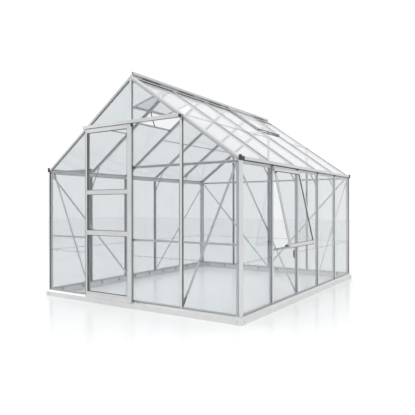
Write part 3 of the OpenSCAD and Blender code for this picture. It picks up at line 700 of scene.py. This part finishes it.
def hex_bolt():
    """Hexagon head on a round washer, its axis along Z and its seat at the origin."""
    bpy.ops.object.select_all(action="DESELECT")
    bpy.ops.mesh.primitive_cylinder_add(vertices=12, radius=0.0068, depth=0.0012,
                                        location=(0, 0, 0.0006))
    bpy.ops.object.mode_set(mode="EDIT")
    washer = bpy.context.object
    pick_edges(washer, lambda a, b: min(a.z, b.z) > 0.001)
    bpy.ops.mesh.bevel(offset=0.0003, segments=1)
    leave_edit()
    bpy.ops.object.select_all(action="DESELECT")
    bpy.ops.mesh.primitive_cylinder_add(vertices=6, radius=0.0056, depth=0.0042,
                                        location=(0, 0, 0.0033))
    bpy.ops.object.mode_set(mode="EDIT")
    head = bpy.context.object
    panel(head, Z, 0.0012, 0.0006)
    leave_edit()
    for each in (washer, head):
        bpy.ops.object.select_all(action="DESELECT")
        each.select_set(True)
        bpy.context.view_layer.objects.active = each
        bpy.ops.object.transform_apply(location=True, rotation=True, scale=True)
    return joined([washer, head])


def bolts():
    """Through the corner plates of the base, and through the sills at their ends and at the bars."""
    from_corner, plate_z = 0.040, 0.026
    sill_from_corner, sill_z = 0.088, base_h + 0.0065
    beside_bar = 0.0045
    places = []
    for side in ("left", "right", "front", "back"):
        reach = (half_l if side in ("left", "right") else half_w) + base_reach
        for end in (-1, 1):
            places.append(at(wall(side), end * (reach - from_corner), base_reach + cap_t, plate_z)
                          @ to_plus_y)
            places.append(at(wall(side), end * (reach - sill_from_corner), bar_back, sill_z)
                          @ to_minus_y)
    for side in ("left", "right"):
        for y in side_lines:
            places.append(at(wall(side), y + beside_bar, bar_back, sill_z) @ to_minus_y)
    finished(copies(hex_bolt(), places), "frame_bolts", "zinc")


def knee_bolts():
    """One bolt at each end of every knee, through the bolt channels of the post and the bar."""
    beside_knee = 0.0094
    spots = [(half_w - knee_in, eave_z - knee_drop),
             (half_w - knee_reach,
              eave_z + knee_reach * math.tan(pitch) - knee_in / math.cos(pitch))]
    places = []
    for y in side_lines:
        for sense in (-1, 1):
            for x, z in spots:
                spot = mid + Vector((sense * x, y + beside_knee, z))
                places.append(Matrix.Translation(spot) @ to_plus_y)
    finished(copies(hex_bolt(), places), "knee_bolts", "zinc")


def lap_clips():
    """Bent steel clips that hold each pane on the one below, two to a lap."""
    clip = block((-0.007, 0.0030, -0.004), (0.007, 0.0086, 0.0))
    pick_faces(clip, lambda c, n: n.y > square_on)
    extrude((0, 0.0012, 0))
    pick_faces(clip, lambda c, n: n.z > square_on and c.y > 0.0086)
    extrude((0, 0, 0.007))
    soften(clip, 0.0006)
    spread = [-0.3 * bay, 0.3 * bay]
    places = []
    for side in ("left", "right"):
        for y in side_bays:
            if side == "left" or y != window_bay:
                places += [at(wall(side), y + dy, 0, wall_lap_z) for dy in spread]
    for side in ("front", "back"):
        for x in gable_bays:
            if side == "back" or x != door_bay:
                places += [at(wall(side), x + dx, 0, z) for dx in spread
                           for z in (wall_lap_z, upper_lap_z)]
    finished(copies(clip, places), "lap_clips", "zinc")


def gusset_plates():
    """Bolted plates behind the joints of the gable ties and posts."""
    half, high, back, bolt_x = 0.036, 0.016, -0.0312, 0.024
    plate = block((-half, back, -high), (half, back + 0.0022, high))
    pick_edges(plate, lambda a, b: abs(a.y - b.y) > 0.001)
    bpy.ops.mesh.bevel(offset=0.006, segments=3)
    pick_faces(plate, lambda c, n: abs(n.y) > square_on)
    bpy.ops.mesh.inset(thickness=0.002)
    leave_edit()
    places = [at(wall(side), x, 0, eave_z - 0.025) for side in ("front", "back")
              for x in gable_lines]
    finished(copies(plate, places), "gusset_plates", "light_aluminium")
    spots = [at(place, dx, back) @ to_minus_y for place in places for dx in (-bolt_x, bolt_x)]
    finished(copies(hex_bolt(), spots), "gusset_bolts", "zinc")


# ------------------------------------------------------------------ door

def door_details():
    """Brush strip, glazing rubbers, drip skirt, corner block and rail screws of the leaf."""
    rails_lo, rails_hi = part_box("door_rails")
    face = door_lo.y
    foot, head = door_lo.z, door_hi.z
    # lower and upper edge of each rail, and how far in from them its screws stand
    rails = [(foot, foot + 0.058), (0.711, 0.759), (1.135, 1.177), (head - 0.040, head)]
    screw_in = [(0.018, 0.014), (0.011, 0.011), (0.011, 0.011), (0.010, 0.012)]

    # brush strip down the shutting stile
    brush = block((door_lo.x - 0.0045, face + 0.004, foot + 0.004),
                  (door_lo.x + 0.0005, face + 0.014, head - 0.004))
    panel(brush, -X, 0.0015, 0.002, grow=True)
    leave_edit()
    finished(brush, "door_brush", "rubber", "door")

    # glazing rubbers round each pane, on both faces of the leaf
    bead_w, near, far = 0.005, 0.0018, 0.0075
    rings = []
    middle = (door_lo.y + door_hi.y) / 2
    for below, above in zip(rails, rails[1:]):
        for y0, y1 in ((middle - far, middle - near), (middle + near, middle + far)):
            rings.append(pane_rubber((rails_lo.x + 0.0002, y0, below[1]),
                                     (rails_hi.x - 0.0002, y1, above[0]), 1, bead_w))
    finished(joined(rings), "door_glazing_rubbers", "rubber", "door")

    # drip skirt along the foot of the leaf
    skirt = block((door_lo.x + 0.002, face - 0.0022, foot - 0.003),
                  (door_hi.x - 0.002, face - 0.0002, foot + 0.030))
    panel(skirt, -Y, 0.003, -0.0006)
    soften(skirt, 0.0006)
    finished(skirt, "door_drip_skirt", "light_aluminium", "door")

    # moulded block on the leaf's upper corner, where it leads into the open run of the track
    corner = block((door_hi.x - 0.018, face + 0.001, head - 0.026),
                   (door_hi.x + 0.008, door_hi.y - 0.001, head + 0.001))
    panel(corner, X, 0.003, 0.002, grow=True)
    soften(corner, 0.0012)
    finished(corner, "door_corner_block", "black_plastic", "door")

    screw_scale = 0.62                          # of the frame's bolts
    screws = []
    for (low, high), (up, down) in zip(rails, screw_in):
        for z in (low + up, high - down):
            for x in (rails_lo.x - 0.012, rails_hi.x + 0.014):
                screws.append(Matrix.Translation((x, face - 0.0001, z)) @ to_minus_y
                              @ Matrix.Scale(screw_scale, 4))
    finished(copies(hex_bolt(), screws), "door_screws", "zinc", "door")


def doorway_fittings():
    """Bottom guide on the base beside the doorway and the bead along the track."""
    guide = block((mid.x + 0.060, mid.y - half_l - 0.0215, base_h - 0.014),
                  (mid.x + 0.090, mid.y - half_l - 0.0095, base_h + 0.004))
    panel(guide, Z, 0.002, 0.002, grow=True)
    soften(guide, 0.0012)
    finished(guide, "door_guide", "light_aluminium")
    bead = block((track_lo.x + 0.004, track_lo.y - 0.0016, track_hi.z - 0.006),
                 (track_hi.x - 0.004, track_lo.y, track_hi.z))
    pick_edges(bead, lambda a, b: max(a.y, b.y) < track_lo.y - 0.001 and abs(a.x - b.x) > 0.1)
    bpy.ops.mesh.bevel(offset=0.0012, segments=3)
    leave_edit()
    finished(bead, "track_bead", "light_aluminium")


# ------------------------------------------------------------------ side window and vents

def window_details():
    """The open side window's leaf, the catch on its far bar and the round knob on its near stile."""
    leaf_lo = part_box("side_window_leaf")[0]
    hinge = mid + Vector((half_w + 0.027, 0, eave_z - 0.042))
    place = (Matrix.Translation((hinge.x, leaf_lo.y + leaf_over, hinge.z))
             @ Matrix.Rotation(math.radians(90) - window_open, 4, "Y"))
    leaf_details(place, window_length, "window", "rubber")

    catch = block((-0.009, -0.040, 0.455), (0.009, -0.0265, 0.540))
    panel(catch, -Y, 0.003, 0.006, grow=True)
    bpy.ops.transform.resize(value=(0.8, 1, 0.75))
    soften(catch, 0.0018)
    finished(copies(catch, [at(wall("right"), window_bay - bay / 2)]), "window_catch",
             "black_plastic")

    knob = block((0.040, -0.004, -0.001), (0.056, 0.010, 0.004))
    panel(knob, Z, 0.003, 0.007, grow=True)
    bpy.ops.transform.resize(value=(1.35, 1.35, 1))
    soften(knob, 0.002, 3)
    finished(copies(knob, [place]), "window_knob", "black_plastic")


def leaf_details(place, length, name, bead):
    """Bead round a leaf's pane, the seal under its lower edge and its corner keys.
    The leaf's frame: X away from its hinge, Y along it, Z outwards."""
    stile, head, foot = 0.020, 0.030, 0.034     # widths of the leaf's own frame
    pane_z, near, far = -0.007, 0.0016, 0.0066
    y0, y1 = -leaf_over + stile, bay + leaf_over - stile
    x0, x1 = head, length - foot
    rings = []
    for z0, z1 in ((pane_z + near, pane_z + far), (pane_z - far, pane_z - near)):
        rings.append(pane_rubber((x0, y0, z0), (x1, y1, z1), 2, 0.004))
    finished(copies(joined(rings), [place]), name + "_glazing_bead", bead)

    seal = block((length - 0.0005, -0.006, -0.0125), (length + 0.0035, bay + 0.006, -0.0035))
    panel(seal, X, 0.002, 0.0015, grow=True)
    leave_edit()
    finished(copies(seal, [place]), name + "_foot_seal", "rubber")

    key = block((-0.011, -0.011, -0.0009), (0.011, 0.011, 0.0006))
    pick_edges(key, lambda a, b: abs(a.z - b.z) > 0.001)
    bpy.ops.mesh.bevel(offset=0.003, segments=2)
    panel(key, Z, 0.002, 0.0005)
    leave_edit()
    spots = [at(place, x, y, -0.001) for x in (0.024, length - 0.017) for y in (0.004, bay - 0.004)]
    finished(copies(key, spots), name + "_corner_keys", "zinc")


def vent_details():
    """The same on the roof vents: the left one stands open and the right one is shut."""
    hinge_out, hinge_up = 0.014, 0.020
    for turn, name, opened in ((0, "shut_vent", 0), (180, "open_vent", vent_open)):
        place = (Matrix.Translation(mid) @ Matrix.Rotation(math.radians(turn), 4, "Z")
                 @ Matrix.Translation((hinge_out, vent_bay - bay / 2, ridge_z + hinge_up))
                 @ Matrix.Rotation(pitch - opened, 4, "Y"))
        leaf_details(place, vent_length, name, "satin_aluminium")


wall_cappings()
roof_cappings()
corner_covers()
verge_covers()
base_plates()
pane_feet()
eave_details()
ridge_details()
roof_lap_strips()
bolts()
knee_bolts()
lap_clips()
gusset_plates()
door_details()
doorway_fittings()
window_details()
vent_details()


# ------------------------------------------------------------------ floor, light and camera

def studio():
    """Pale floor, white surroundings and two soft lamps."""
    bpy.ops.mesh.primitive_plane_add(size=60, location=(0, 0, -0.0005))
    floor = bpy.context.object
    floor.name = "studio_floor"
    mat, tree, shader = new_material("studio_floor")
    place = add(tree, "ShaderNodeTexCoord")
    noise = add(tree, "ShaderNodeTexNoise", Scale=1.5, Detail=3.0)
    tint = add(tree, "ShaderNodeMix", data_type="RGBA")
    tint.inputs["A"].default_value = (0.90, 0.90, 0.90, 1)
    tint.inputs["B"].default_value = (0.93, 0.93, 0.93, 1)
    tree.links.new(place.outputs["Object"], noise.inputs["Vector"])
    tree.links.new(noise.outputs["Fac"], tint.inputs["Factor"])
    tree.links.new(tint.outputs["Result"], shader.inputs["Base Color"])
    shader.inputs["Roughness"].default_value = 0.22
    floor.data.materials.append(mat)

    world = bpy.data.worlds.new("studio")
    bpy.context.scene.world = world
    world.use_nodes = True
    tree = world.node_tree
    back = tree.nodes["Background"]
    back.inputs["Strength"].default_value = 1.12
    # white all round, but greyer before the door gable and the window wall, which shades them
    place = add(tree, "ShaderNodeTexCoord")
    parts = add(tree, "ShaderNodeSeparateXYZ")
    gable_grey, window_grey = 0.70, 0.74
    gable = add(tree, "ShaderNodeMapRange", From_Min=-1.0, From_Max=-0.15, To_Min=gable_grey,
                To_Max=1.0)
    window = add(tree, "ShaderNodeMapRange", From_Min=0.1, From_Max=1.0, To_Min=1.0,
                 To_Max=window_grey)
    grey = add(tree, "ShaderNodeMath", operation="MULTIPLY")
    link = tree.links.new
    link(place.outputs["Generated"], parts.inputs["Vector"])
    link(parts.outputs["Y"], gable.inputs["Value"])
    link(parts.outputs["X"], window.inputs["Value"])
    link(gable.outputs["Result"], grey.inputs[0])
    link(window.outputs["Result"], grey.inputs[1])
    link(grey.outputs["Value"], back.inputs["Color"])

    for name, place, turn, size, power in (
            ("key", (4.5, -6.0, 6.0), (48, 0, 38), 4.0, 260),
            ("fill", (-6.0, -3.0, 4.0), (60, 0, -62), 4.0, 60)):
        bpy.ops.object.light_add(type="AREA", location=place,
                                 rotation=[math.radians(a) for a in turn])
        lamp = bpy.context.object
        lamp.name = name
        lamp.data.size = size
        lamp.data.energy = power
    bpy.context.scene.view_settings.view_transform = "Standard"


def camera():
    """Eye height, from the corner between the door gable and the window side."""
    eye = Vector((3.1918, -5.0342, 1.005))       # from the building's middle, on the floor
    tilt, roll, heading = math.radians(89.9), math.radians(0.08), 0.5804
    bpy.ops.object.camera_add(location=mid + eye, rotation=(tilt, roll, heading))
    cam = bpy.context.object
    cam.data.sensor_width = 36.0
    cam.data.lens = 40.7
    bpy.context.scene.camera = cam


studio()
camera()
